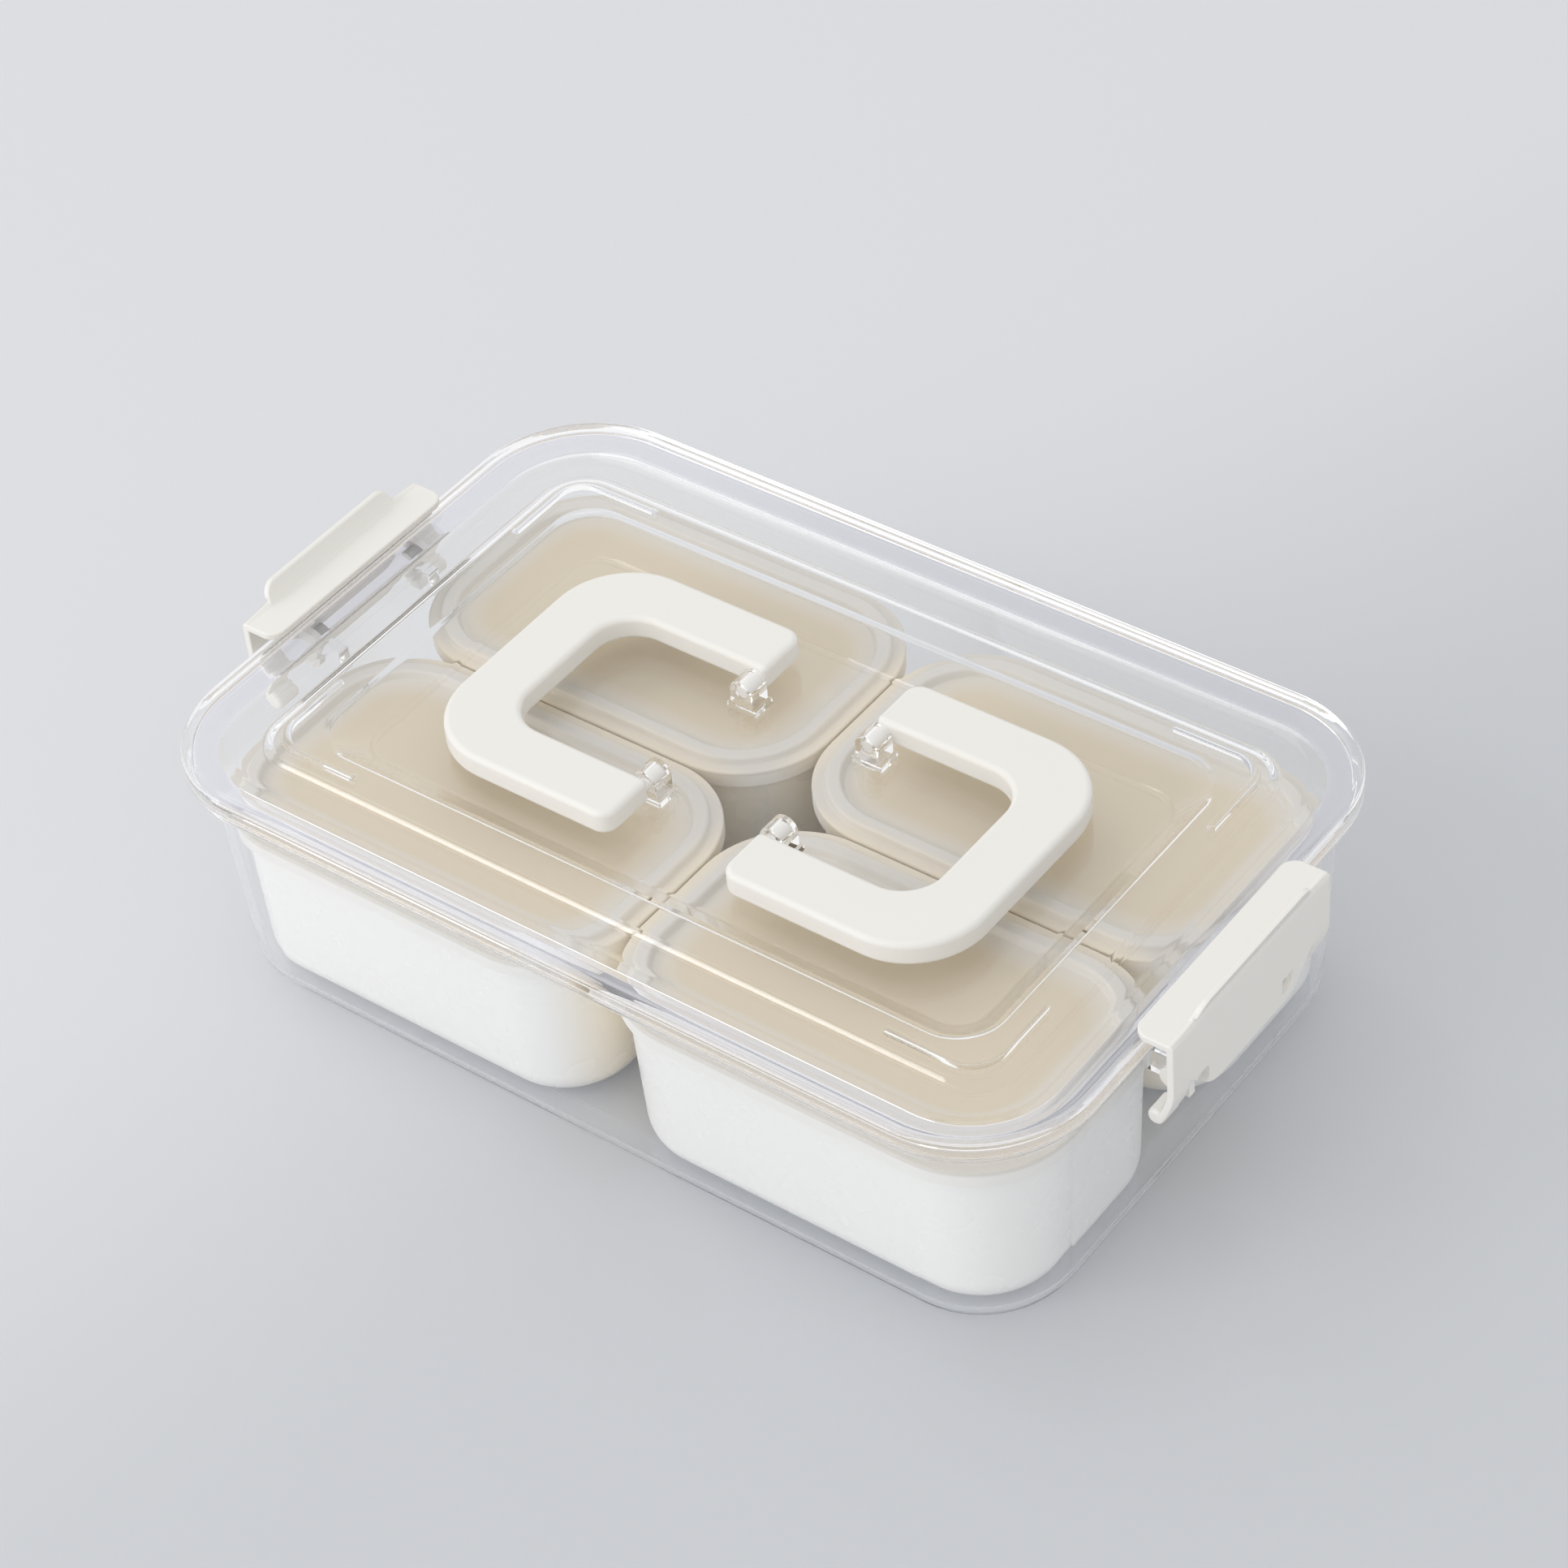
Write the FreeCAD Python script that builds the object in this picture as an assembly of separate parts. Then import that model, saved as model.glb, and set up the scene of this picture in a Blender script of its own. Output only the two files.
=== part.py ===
"""Clear lunch box: a tub with four covered bowls, under a lid with two folding handles and two end latches.

Millimetres. X runs along the box, Y across it and +Z up. The origin is the middle of the tub's underside.
"""

import os

import FreeCAD
import Part

os.makedirs("parts", exist_ok=True)

V = FreeCAD.Vector
UP = V(0, 0, 1)
ALONG_Y = V(0, 1, 0)

# Rim: every ring of the lid and the tub is inset from this outline.
RIM_X, RIM_Y, RIM_R = RIM = (130.9, 85.7, 32.6)

# Tub
TUB_BASE = (122.0, 76.8, 25.0)
TUB_TOP = (125.5, 80.3, 27.8)
TUB_WALL = 2.0
TUB_FLOOR = 2.2
TUB_HEIGHT = 66.2
TUB_EDGE = 7.0
FLANGE_INSET = 1.0
FLANGE_BOTTOM = 63.9
FLANGE_ROUND = 0.4
FLANGE_RUN_OUT = 1.6
FOOT_WIDTH = 10.0
FOOT_HEIGHT = 0.6

# Lid
LID_SHEET = 1.8
SKIRT_WALL = 2.0
LIP_TOP = 71.0
LIP_WIDTH, LIP_ROUND, LIP_INNER_ROUND = 3.2, 1.0, 0.3
BAND_OUT, BAND_OUT_Z = 3.8, 70.2
BAND_IN, BAND_IN_Z = 9.3, 69.1
GUTTER_OUT, GUTTER_IN, GUTTER_Z = 13.0, 20.0, 67.95
STEP_IN, PLATEAU_Z = 21.5, 69.5
SECTION_LAP = 2.0
RECESS_TOP = (99.0, 54.3, 11.0)
RECESS_FLOOR = (91.2, 45.5, 8.0)
RECESS_Z = 62.3
RIB_X, RIB_Y, RIB_R = 105.5, 60.0, 8.0
RIB_END_X, RIB_END_Y = 79.0, 34.0
RIB_HIGH = 1.3
SEAL_IN = 8.9
SEAL_GAP = 0.3

# Handles
PIVOT_X, PIVOT_Z = 19.0, 67.95
HANDLE_BOTTOM, HANDLE_TOP = 64.5, 71.4
HANDLE_END, HANDLE_OPENING, HANDLE_GRIP = 16.7, 61.9, 78.5
HANDLE_HALF, HANDLE_INNER = 40.0, 23.5
HANDLE_CORNER, HANDLE_INNER_CORNER, HANDLE_END_CORNER = 21.0, 11.0, 4.5
HANDLE_EDGE = 1.3
LUG_INNER, LUG_OUTER = 16.0, 22.5
LUG_DOME = 3.55
LUG_FOOT_X, LUG_FOOT_HEIGHT, LUG_FOOT_LEDGE, LUG_FOOT_CORNER = 4.6, 1.7, 0.4, 0.8
HANDLE_PIN = 1.8
RUNNING_FIT = 0.06
PIN_TIP, BORE_SPARE = 17.2, 0.2

# Latches
LATCH_X, LATCH_Z = 133.0, 53.5
LATCH_HALF = 33.5
LATCH_SHEET = 2.0
LATCH_FACE = 138.8
HOOK_TIP, HOOK_BOTTOM, HOOK_CORNER, RIDGE_ROUND = 127.6, 71.2, 4.0, 1.0
TAB_HALF, TAB_TOP, TAB_LEAN, TAB_SHEET, TAB_CORNER, TAB_ROOT = 24.0, 78.2, 1.4, 1.6, 4.0, 0.2
PLATE_LOW, PLATE_LOW_HALF, PLATE_SIDE_LOW = 48.0, 17.0, 64.0
PLATE_LOW_ROUND, PLATE_SIDE_ROUND = 8.0, 5.0
LEG_WIDTH, LEG_TOP, LEG_BEND, LEG_BOTTOM, LEG_LEAN = 7.6, 66.0, 57.6, 46.0, 4.2
TOE_X, TOE_R, TOE_EDGE = 133.5, 2.2, 1.2
EAR_MIDDLE, EAR_SPREAD, EAR_THICK, EAR_R = -3.3, 18.0, 3.6, 3.5
WINDOW_WIDTH, WINDOW_HEIGHT, WINDOW_CORNER = 4.8, 5.0, 1.0
LATCH_PIN = 1.5
CHEEK_R, CHEEK_THICK, CHEEK_GAP = 3.2, 2.2, 0.3

# Bowls and their covers
BOWL_X, BOWL_Y = 61.3, 38.5
BOWL_BASE = (56.3, 34.0, 20.0)
BOWL_TOP = (58.9, 36.1, 23.6)
BOWL_HEIGHT = 51.8
BOWL_WALL = 1.5
BOWL_EDGE = 9.0
BEAD_DEEP, BEAD_LEAD, BEAD_RUN_OUT = 2.4, 0.6, 1.0
COVER = (61.0, 38.2, 25.7)
COVER_SHEET = 1.2
COVER_SKIRT = 1.0
SKIRT_LOW = 48.6
FLANGE_Z, RING_Z, PANEL_Z = 53.0, 54.8, 52.6
RING_OUT, RING_IN = 3.0, 8.0
FLANGE_EDGE, RING_RISE, RING_FALL = 0.6, 0.6, 0.8
SNAP_GAP = 0.1

# How far the middle of a quarter round stands off its corner, for a radius of one.
SAG = 1 - 2**-0.5


def outline(half_x, half_y, radius, z):
    """A rounded rectangle about the Z axis, as a closed wire of four arcs and four lines."""
    edges = []
    turn = radius * 2**-0.5
    corners = [(1, 1), (-1, 1), (-1, -1), (1, -1)]
    for i, (sx, sy) in enumerate(corners):
        centre = V(sx * (half_x - radius), sy * (half_y - radius), z)
        beside = centre + V(sx * radius, 0, 0)
        beyond = centre + V(0, sy * radius, 0)
        middle = centre + V(sx * turn, sy * turn, 0)
        first, last = (beside, beyond) if sx == sy else (beyond, beside)
        arc = Part.Arc(first, middle, last).toShape()
        if i:
            edges.append(Part.makeLine(end, first))
        else:
            start = first
        edges.append(arc)
        end = last
    edges.append(Part.makeLine(end, start))
    return Part.Wire(edges)


def tapered(low, low_z, high, high_z):
    """A solid between two rounded rectangles, each (half length, half width, corner radius)."""
    return Part.makeLoft([outline(*low, low_z), outline(*high, high_z)], True, True)


def block(x0, x1, y0, y1, z0, z1):
    return Part.makeBox(x1 - x0, y1 - y0, z1 - z0, V(x0, y0, z0))


def rod(radius, x, z, y0, y1):
    """A round rod along Y."""
    return Part.makeCylinder(radius, y1 - y0, V(x, y0, z), ALONG_Y)


def face_of(points):
    """A flat face in the XZ plane from corner points. A pair of points is an arc's middle and end."""
    edges = []
    here = points[0]
    for point in points[1:] + points[:1]:
        if isinstance(point[0], tuple):
            middle, point = point
            through = [V(x, 0, z) for x, z in (here, middle, point)]
            edges.append(Part.Arc(*through).toShape())
        else:
            edges.append(Part.makeLine(V(here[0], 0, here[1]), V(point[0], 0, point[1])))
        here = point
    return Part.Face(Part.Wire(edges))


def prism(points, y0, y1):
    """An XZ profile drawn out along Y."""
    face = face_of(points)
    face.translate(V(0, y0, 0))
    return face.extrude(V(0, y1 - y0, 0))


def from_centre(point, radius):
    """A point, or an arc's two points, with the inset turned into a distance from the corner's centre."""
    if isinstance(point[0], tuple):
        return tuple(from_centre(p, radius) for p in point)
    return radius - point[0], point[1]


def ring(profile, half_x, half_y, radius):
    """A section of (inset, height) points carried round a rounded rectangle."""
    corner_x, corner_y = half_x - radius, half_y - radius
    section = face_of([from_centre(point, radius) for point in profile])
    pieces = []
    for i, (sx, sy) in enumerate([(1, 1), (-1, 1), (-1, -1), (1, -1)]):
        start = section.rotated(V(0, 0, 0), UP, 90 * i)
        start.translate(V(sx * corner_x, sy * corner_y, 0))
        pieces.append(start.revolve(V(sx * corner_x, sy * corner_y, 0), UP, 90))
        back = V(0, -2 * corner_y * sy, 0) if sx == sy else V(-2 * corner_x * sx, 0, 0)
        pieces.append(start.extrude(back))
    return joined(pieces)


def joined(pieces):
    """The pieces fused into one clean solid."""
    return pieces[0].fuse(pieces[1:]).removeSplitter()


def rounded(shape, radius, wanted):
    """The shape with a fillet on each edge whose middle point is wanted."""
    chosen = [e for e in shape.Edges if wanted(e.valueAt((e.FirstParameter + e.LastParameter) / 2), e)]
    return shape.makeFillet(radius, chosen)


def upright(edge):
    """Whether an edge is a vertical line."""
    a, b = edge.Vertexes[0].Point, edge.Vertexes[-1].Point
    return abs(a.x - b.x) + abs(a.y - b.y) < 1e-6 < abs(a.z - b.z)


def along_x(edge):
    """Whether an edge is a line along X."""
    box = edge.BoundBox
    return max(box.YLength, box.ZLength) < 1e-4 < box.XLength


def at(value, wanted):
    """Whether a coordinate is the wanted one."""
    return abs(value - wanted) < 1e-4


def level(edge, z):
    """Whether an edge lies in a horizontal plane at height z."""
    return at(edge.BoundBox.ZMin, z) and at(edge.BoundBox.ZMax, z)


def grown(size, by):
    return tuple(value + by for value in size)


def save(name, shape):
    solid = shape.Solids[0]
    if len(shape.Solids) != 1 or not solid.isValid():
        raise ValueError(f"{name} is not one sound solid")
    solid.exportStep(f"parts/{name}.step")


def make_tub():
    outer = tapered(TUB_BASE, 0, TUB_TOP, TUB_HEIGHT)
    outer = rounded(outer, TUB_EDGE, lambda p, e: level(e, 0))
    draft = (TUB_TOP[0] - TUB_BASE[0]) / TUB_HEIGHT
    inner_low = grown(TUB_BASE, draft * TUB_FLOOR - TUB_WALL)
    inner_top = grown(TUB_TOP, draft - TUB_WALL)
    inner = tapered(inner_low, TUB_FLOOR, inner_top, TUB_HEIGHT + 1)
    inner = rounded(inner, TUB_EDGE - TUB_WALL, lambda p, e: level(e, TUB_FLOOR))
    recess_low = grown(TUB_BASE, -FOOT_WIDTH)
    recess_top = grown(TUB_BASE, -FOOT_WIDTH - FOOT_HEIGHT)
    foot = tapered(recess_low, 0, recess_top, FOOT_HEIGHT)
    buried = RIM_X - TUB_TOP[0] + TUB_WALL / 2
    flange = ring(
        [
            (FLANGE_INSET, TUB_HEIGHT),
            (FLANGE_INSET, FLANGE_BOTTOM + FLANGE_ROUND),
            (
                (FLANGE_INSET + SAG * FLANGE_ROUND, FLANGE_BOTTOM + SAG * FLANGE_ROUND),
                (FLANGE_INSET + FLANGE_ROUND, FLANGE_BOTTOM),
            ),
            (buried - FLANGE_RUN_OUT, FLANGE_BOTTOM),
            (buried, FLANGE_BOTTOM - FLANGE_RUN_OUT),
            (buried, TUB_HEIGHT),
        ],
        *RIM,
    )
    ears = []
    for side in (-1, 1):
        y0 = EAR_MIDDLE + side * EAR_SPREAD - EAR_THICK / 2
        ear = block(TUB_BASE[0], LATCH_X, y0, y0 + EAR_THICK, LATCH_Z - EAR_R, LATCH_Z + EAR_R)
        ear = ear.fuse(rod(EAR_R, LATCH_X, LATCH_Z, y0, y0 + EAR_THICK))
        ears.append(ear)
        ears.append(ear.rotated(V(0, 0, 0), UP, 180))
    tub = joined([outer, flange] + ears).cut([inner, foot])
    reach = EAR_SPREAD + EAR_THICK
    bore = rod(LATCH_PIN + RUNNING_FIT, LATCH_X, LATCH_Z, EAR_MIDDLE - reach, EAR_MIDDLE + reach)
    return tub.cut([bore, bore.rotated(V(0, 0, 0), UP, 180)]).removeSplitter()


def lid_section():
    """The lid's rim, gutter and step as (inset, height) points, out at the skirt and back below."""
    under = LID_SHEET
    lap = STEP_IN + SECTION_LAP
    return [
        (0, TUB_HEIGHT),
        (0, LIP_TOP - LIP_ROUND),
        ((SAG * LIP_ROUND, LIP_TOP - SAG * LIP_ROUND), (LIP_ROUND, LIP_TOP)),
        (LIP_WIDTH - LIP_ROUND, LIP_TOP),
        ((LIP_WIDTH - LIP_INNER_ROUND, LIP_TOP - LIP_INNER_ROUND), (BAND_OUT, BAND_OUT_Z)),
        (BAND_IN, BAND_IN_Z),
        (GUTTER_OUT, GUTTER_Z),
        (GUTTER_IN, GUTTER_Z),
        (STEP_IN, PLATEAU_Z),
        (lap, PLATEAU_Z),
        (lap, PLATEAU_Z - under),
        (STEP_IN + under / 2, PLATEAU_Z - under),
        (GUTTER_IN + under / 2, GUTTER_Z - under),
        (GUTTER_OUT - under / 4, GUTTER_Z - under),
        (SEAL_IN, BAND_IN_Z - under),
        (SKIRT_WALL, BAND_OUT_Z - under),
        (SKIRT_WALL, TUB_HEIGHT),
    ]


def make_rib():
    """A rounded rib that turns one corner of the lid's raised panel."""
    corner_x, corner_y = RIB_X - RIB_R, RIB_Y - RIB_R
    across = Part.makeCylinder(RIB_HIGH, corner_x - RIB_END_X, V(RIB_END_X, RIB_Y, PLATEAU_Z), V(1, 0, 0))
    down = Part.makeCylinder(RIB_HIGH, corner_y - RIB_END_Y, V(RIB_X, RIB_END_Y, PLATEAU_Z), ALONG_Y)
    turn = Part.makeTorus(RIB_R, RIB_HIGH, V(corner_x, corner_y, PLATEAU_Z), UP)
    turn = turn.common(block(corner_x, RIB_X + 5, corner_y, RIB_Y + 5, PLATEAU_Z - 5, PLATEAU_Z + 5))
    ends = [
        Part.makeSphere(RIB_HIGH, V(RIB_END_X, RIB_Y, PLATEAU_Z)),
        Part.makeSphere(RIB_HIGH, V(RIB_X, RIB_END_Y, PLATEAU_Z)),
    ]
    rib = joined([across, down, turn] + ends)
    top = block(0, RIB_X + 5, 0, RIB_Y + 5, PLATEAU_Z - LID_SHEET / 2, PLATEAU_Z + 5)
    return rib.common(top)


def make_lug():
    """One clear handle lug: a domed block on a foot, with a blind bore from the handle's side."""
    y0, y1 = LUG_INNER - LUG_FOOT_LEDGE, LUG_OUTER + LUG_FOOT_LEDGE
    z0, z1 = RECESS_Z - LID_SHEET / 2, RECESS_Z + LUG_FOOT_HEIGHT
    foot = block(PIVOT_X - LUG_FOOT_X, PIVOT_X + LUG_FOOT_X, y0, y1, z0, z1)
    foot = rounded(foot, LUG_FOOT_CORNER, lambda p, e: upright(e))
    neck = block(PIVOT_X - LUG_DOME, PIVOT_X + LUG_DOME, LUG_INNER, LUG_OUTER, RECESS_Z, PIVOT_Z)
    dome = rod(LUG_DOME, PIVOT_X, PIVOT_Z, LUG_INNER, LUG_OUTER)
    bore = rod(HANDLE_PIN + RUNNING_FIT, PIVOT_X, PIVOT_Z, PIN_TIP - BORE_SPARE, LUG_OUTER + 1)
    return joined([foot, neck, dome]).cut(bore)


def four(shape):
    """A shape and its copies in the other three quarters."""
    half = [shape, shape.mirror(V(0, 0, 0), V(1, 0, 0))]
    return half + [s.mirror(V(0, 0, 0), V(0, 1, 0)) for s in half]


def make_lid():
    rim = ring(lid_section(), RIM_X, RIM_Y, RIM_R)
    inset = STEP_IN + SECTION_LAP / 2
    panel_size = (RIM_X - inset, RIM_Y - inset, RIM_R - inset)
    panel = tapered(panel_size, PLATEAU_Z - LID_SHEET, panel_size, PLATEAU_Z)
    depth = PLATEAU_Z - RECESS_Z
    deeper = (depth + LID_SHEET) / depth
    wall = LID_SHEET * 2**0.5
    cup_top = grown(RECESS_TOP, wall)
    cup_floor = tuple(t + (f - t) * deeper for t, f in zip(cup_top, grown(RECESS_FLOOR, wall)))
    cup = tapered(cup_floor, RECESS_Z - LID_SHEET, cup_top, PLATEAU_Z)
    lid = joined([rim, panel, cup])
    hollow = tapered(RECESS_FLOOR, RECESS_Z, RECESS_TOP, PLATEAU_Z)
    hollow = hollow.fuse(tapered(RECESS_TOP, PLATEAU_Z, RECESS_TOP, PLATEAU_Z + 5))
    lid = lid.cut(hollow)
    return joined([lid] + four(make_rib()) + four(make_lug()))


def make_seal():
    """A soft ring that fills the channel behind the skirt and stops just short of the tub's rim."""
    bottom = TUB_HEIGHT + SEAL_GAP
    under = LID_SHEET
    return ring(
        [
            (SKIRT_WALL, bottom),
            (SKIRT_WALL, BAND_OUT_Z - under),
            (SEAL_IN, BAND_IN_Z - under),
            (SEAL_IN, bottom),
        ],
        *RIM,
    )


def make_handle():
    frame = block(HANDLE_END, HANDLE_GRIP, -HANDLE_HALF, HANDLE_HALF, HANDLE_BOTTOM, HANDLE_TOP)
    frame = rounded(frame, HANDLE_CORNER, lambda p, e: upright(e) and p.x > HANDLE_OPENING)
    frame = rounded(frame, HANDLE_END_CORNER, lambda p, e: upright(e) and p.x < HANDLE_END + 1)
    opening = block(0, HANDLE_OPENING, -HANDLE_INNER, HANDLE_INNER, HANDLE_BOTTOM, HANDLE_TOP)
    opening = rounded(opening, HANDLE_INNER_CORNER, lambda p, e: upright(e) and p.x > 1)
    frame = frame.cut(opening)
    frame = rounded(frame, HANDLE_EDGE, lambda p, e: level(e, HANDLE_TOP) or level(e, HANDLE_BOTTOM))
    pins = [rod(HANDLE_PIN, PIVOT_X, PIVOT_Z, PIN_TIP, HANDLE_INNER + 1)]
    pins.append(pins[0].mirror(V(0, 0, 0), V(0, 1, 0)))
    return joined([frame] + pins)


def make_latch():
    """The right latch. The left one is the same part turned half way round."""
    top = HOOK_BOTTOM + LATCH_SHEET
    inside = LATCH_FACE - LATCH_SHEET
    hook = block(HOOK_TIP, LATCH_FACE, -LATCH_HALF, LATCH_HALF, HOOK_BOTTOM, top)
    hook = rounded(hook, HOOK_CORNER, lambda p, e: upright(e) and p.x < HOOK_TIP + 1)
    front = [
        (-LATCH_HALF, top),
        (-LATCH_HALF, PLATE_SIDE_LOW),
        (-PLATE_LOW_HALF, PLATE_LOW),
        (PLATE_LOW_HALF, PLATE_LOW),
        (LATCH_HALF, PLATE_SIDE_LOW),
        (LATCH_HALF, top),
    ]
    plate = prism(front, -LATCH_FACE, -inside).rotated(V(0, 0, 0), UP, 90)
    plate = rounded(plate, PLATE_LOW_ROUND, lambda p, e: at(p.z, PLATE_LOW) and along_x(e))
    plate = rounded(plate, PLATE_SIDE_ROUND, lambda p, e: at(p.z, PLATE_SIDE_LOW) and along_x(e))
    body = joined([hook, plate])
    body = rounded(body, RIDGE_ROUND, lambda p, e: level(e, top) and at(p.x, LATCH_FACE))
    root = top - RIDGE_ROUND - TAB_ROOT
    tab = prism(
        [
            (LATCH_FACE - TAB_SHEET, root),
            (LATCH_FACE, root),
            (LATCH_FACE + TAB_LEAN, TAB_TOP),
            (LATCH_FACE + TAB_LEAN - TAB_SHEET, TAB_TOP),
        ],
        -TAB_HALF,
        TAB_HALF,
    )
    tab = rounded(tab, TAB_CORNER, lambda p, e: at(p.z, TAB_TOP) and at(abs(p.y), TAB_HALF))
    bend = (LEG_BEND + LEG_BOTTOM) / 2
    leg_profile = [
        (inside, LEG_TOP),
        (inside, LEG_BEND),
        ((inside - LEG_LEAN / 3, bend), (inside - LEG_LEAN, LEG_BOTTOM)),
        (LATCH_FACE - LEG_LEAN, LEG_BOTTOM),
        ((LATCH_FACE - LEG_LEAN / 3, bend), (LATCH_FACE, LEG_BEND)),
        (LATCH_FACE, LEG_TOP),
    ]
    legs = []
    for y0 in (-LATCH_HALF, LATCH_HALF - LEG_WIDTH):
        legs.append(prism(leg_profile, y0, y0 + LEG_WIDTH))
        toe = rod(TOE_R, TOE_X, LEG_BOTTOM + TOE_R, y0, y0 + LEG_WIDTH)
        legs.append(rounded(toe, TOE_EDGE, lambda p, e: at(e.BoundBox.YLength, 0)))
    windows = []
    grips = []
    for side in (-1, 1):
        middle = EAR_MIDDLE + side * EAR_SPREAD
        y0, z0 = middle - WINDOW_WIDTH / 2, LATCH_Z - WINDOW_HEIGHT / 2
        window = block(inside - 1, LATCH_FACE + 1, y0, y0 + WINDOW_WIDTH, z0, z0 + WINDOW_HEIGHT)
        windows.append(rounded(window, WINDOW_CORNER, lambda p, e: along_x(e)))
        near = middle + side * (EAR_THICK / 2 + CHEEK_GAP)
        far = near + side * CHEEK_THICK
        tip = middle - side * (EAR_THICK / 2 - BORE_SPARE)
        y0, y1 = sorted((near, far))
        root = inside + LATCH_SHEET / 4
        grips.append(block(LATCH_X, root, y0, y1, LATCH_Z - CHEEK_R, LATCH_Z + CHEEK_R))
        grips.append(rod(CHEEK_R, LATCH_X, LATCH_Z, y0, y1))
        y0, y1 = sorted((tip, far))
        grips.append(rod(LATCH_PIN, LATCH_X, LATCH_Z, y0, y1))
    latch = joined([body, tab] + legs).cut(windows)
    return joined([latch] + grips)


def make_bowl():
    outer = tapered(BOWL_BASE, TUB_FLOOR, BOWL_TOP, BOWL_HEIGHT)
    outer = rounded(outer, BOWL_EDGE, lambda p, e: level(e, TUB_FLOOR))
    bead_out = COVER_SKIRT + SNAP_GAP
    bead_in = COVER[0] - BOWL_TOP[0] + BOWL_WALL / 2
    bead = ring(
        [
            (bead_out + BEAD_LEAD, BOWL_HEIGHT),
            (bead_out, BOWL_HEIGHT - BEAD_LEAD),
            (bead_out, BOWL_HEIGHT - BEAD_DEEP),
            (bead_in, BOWL_HEIGHT - BEAD_DEEP - BEAD_RUN_OUT),
            (bead_in, BOWL_HEIGHT),
        ],
        *COVER,
    )
    floor = TUB_FLOOR + BOWL_WALL
    inner = tapered(grown(BOWL_BASE, -BOWL_WALL), floor, grown(BOWL_TOP, -BOWL_WALL), BOWL_HEIGHT + 0.5)
    inner = rounded(inner, BOWL_EDGE - BOWL_WALL, lambda p, e: level(e, floor))
    return joined([outer, bead]).cut(inner)


def make_cover():
    under = COVER_SHEET
    edge = ring(
        [
            (0, SKIRT_LOW),
            (0, FLANGE_Z - FLANGE_EDGE),
            ((SAG * FLANGE_EDGE, FLANGE_Z - SAG * FLANGE_EDGE), (FLANGE_EDGE, FLANGE_Z)),
            (RING_OUT, FLANGE_Z),
            (RING_OUT + RING_RISE, RING_Z),
            (RING_IN - RING_FALL, RING_Z),
            (RING_IN, PANEL_Z),
            (RING_IN + SECTION_LAP, PANEL_Z),
            (RING_IN + SECTION_LAP, PANEL_Z - under),
            (RING_IN - under, PANEL_Z - under),
            (RING_IN - RING_FALL - under, RING_Z - under),
            (RING_OUT + RING_RISE + under, RING_Z - under),
            (RING_OUT + under, FLANGE_Z - under),
            (COVER_SKIRT, FLANGE_Z - under),
            (COVER_SKIRT, SKIRT_LOW),
        ],
        *COVER,
    )
    panel_size = grown(COVER, -RING_IN - SECTION_LAP / 2)
    panel = tapered(panel_size, PANEL_Z - under, panel_size, PANEL_Z)
    return joined([edge, panel])


save("tub", make_tub())
save("lid", make_lid())
save("lid_seal", make_seal())

handle = make_handle()
latch = make_latch()
for side, turn in (("right", 0), ("left", 180)):
    save(f"handle_{side}", handle.rotated(V(0, 0, 0), UP, turn))
    save(f"latch_{side}", latch.rotated(V(0, 0, 0), UP, turn))

bowl = make_bowl()
cover = make_cover()
for row, y in (("front", -BOWL_Y), ("back", BOWL_Y)):
    for side, x in (("left", -BOWL_X), ("right", BOWL_X)):
        save(f"bowl_{row}_{side}", bowl.translated(V(x, y, 0)))
        save(f"cover_{row}_{side}", cover.translated(V(x, y, 0)))
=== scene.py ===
import math

import bmesh
import bpy
from mathutils import Matrix, Vector


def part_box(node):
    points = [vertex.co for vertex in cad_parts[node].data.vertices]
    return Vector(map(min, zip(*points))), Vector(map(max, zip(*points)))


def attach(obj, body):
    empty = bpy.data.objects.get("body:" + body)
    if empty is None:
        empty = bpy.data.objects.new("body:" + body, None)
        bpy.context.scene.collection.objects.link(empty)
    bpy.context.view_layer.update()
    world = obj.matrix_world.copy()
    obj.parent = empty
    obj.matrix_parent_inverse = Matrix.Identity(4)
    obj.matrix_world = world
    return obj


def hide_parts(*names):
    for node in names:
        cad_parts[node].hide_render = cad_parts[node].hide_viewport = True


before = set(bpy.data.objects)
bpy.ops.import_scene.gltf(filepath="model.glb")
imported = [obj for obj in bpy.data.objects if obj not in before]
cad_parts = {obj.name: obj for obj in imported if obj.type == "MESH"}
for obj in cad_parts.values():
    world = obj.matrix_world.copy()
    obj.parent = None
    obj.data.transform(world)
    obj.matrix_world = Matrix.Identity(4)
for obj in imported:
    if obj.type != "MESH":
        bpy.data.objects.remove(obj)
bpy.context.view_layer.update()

# ---------------------------------------------------------------------------
# Tub. A clear injection-moulded box with slightly drafted walls, an outward
# rim that the lid's skirt stands on, and a low foot ring round its underside.
# ---------------------------------------------------------------------------
CORNER_STEPS = 20
HELD_APART = 50
# A share just short of the whole, so that two roundings never meet in one line.
NEARLY_ALL = 0.995
PLASTIC_IOR = 1.49
LIGHT_PASSED = (0.99, 0.99, 0.995, 1)
BOUNCES_HELD = 4.5


def box_of(node):
    """A node's lowest and highest corners in millimetres, the unit that every piece is modelled in."""
    return [[1000 * c for c in corner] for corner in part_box(node)]


def rounded_loop(bm, half_x, half_y, radius, z):
    """Edges of a rounded rectangle at height z, with as many points in every loop."""
    made = bmesh.ops.create_grid(bm, x_segments=1, y_segments=1, size=1.0)
    verts = made["verts"]
    bmesh.ops.scale(bm, vec=(half_x, half_y, 1), verts=verts)
    bmesh.ops.translate(bm, vec=(0, 0, z), verts=verts)
    corners = bmesh.ops.bevel(
        bm, geom=verts, offset=radius, affect="VERTICES", segments=CORNER_STEPS, profile=0.5, material=-1
    )
    plate = corners["verts"][0].link_faces[0]
    edges = list(plate.edges)
    bmesh.ops.delete(bm, geom=[plate], context="FACES_ONLY")
    return edges


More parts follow.
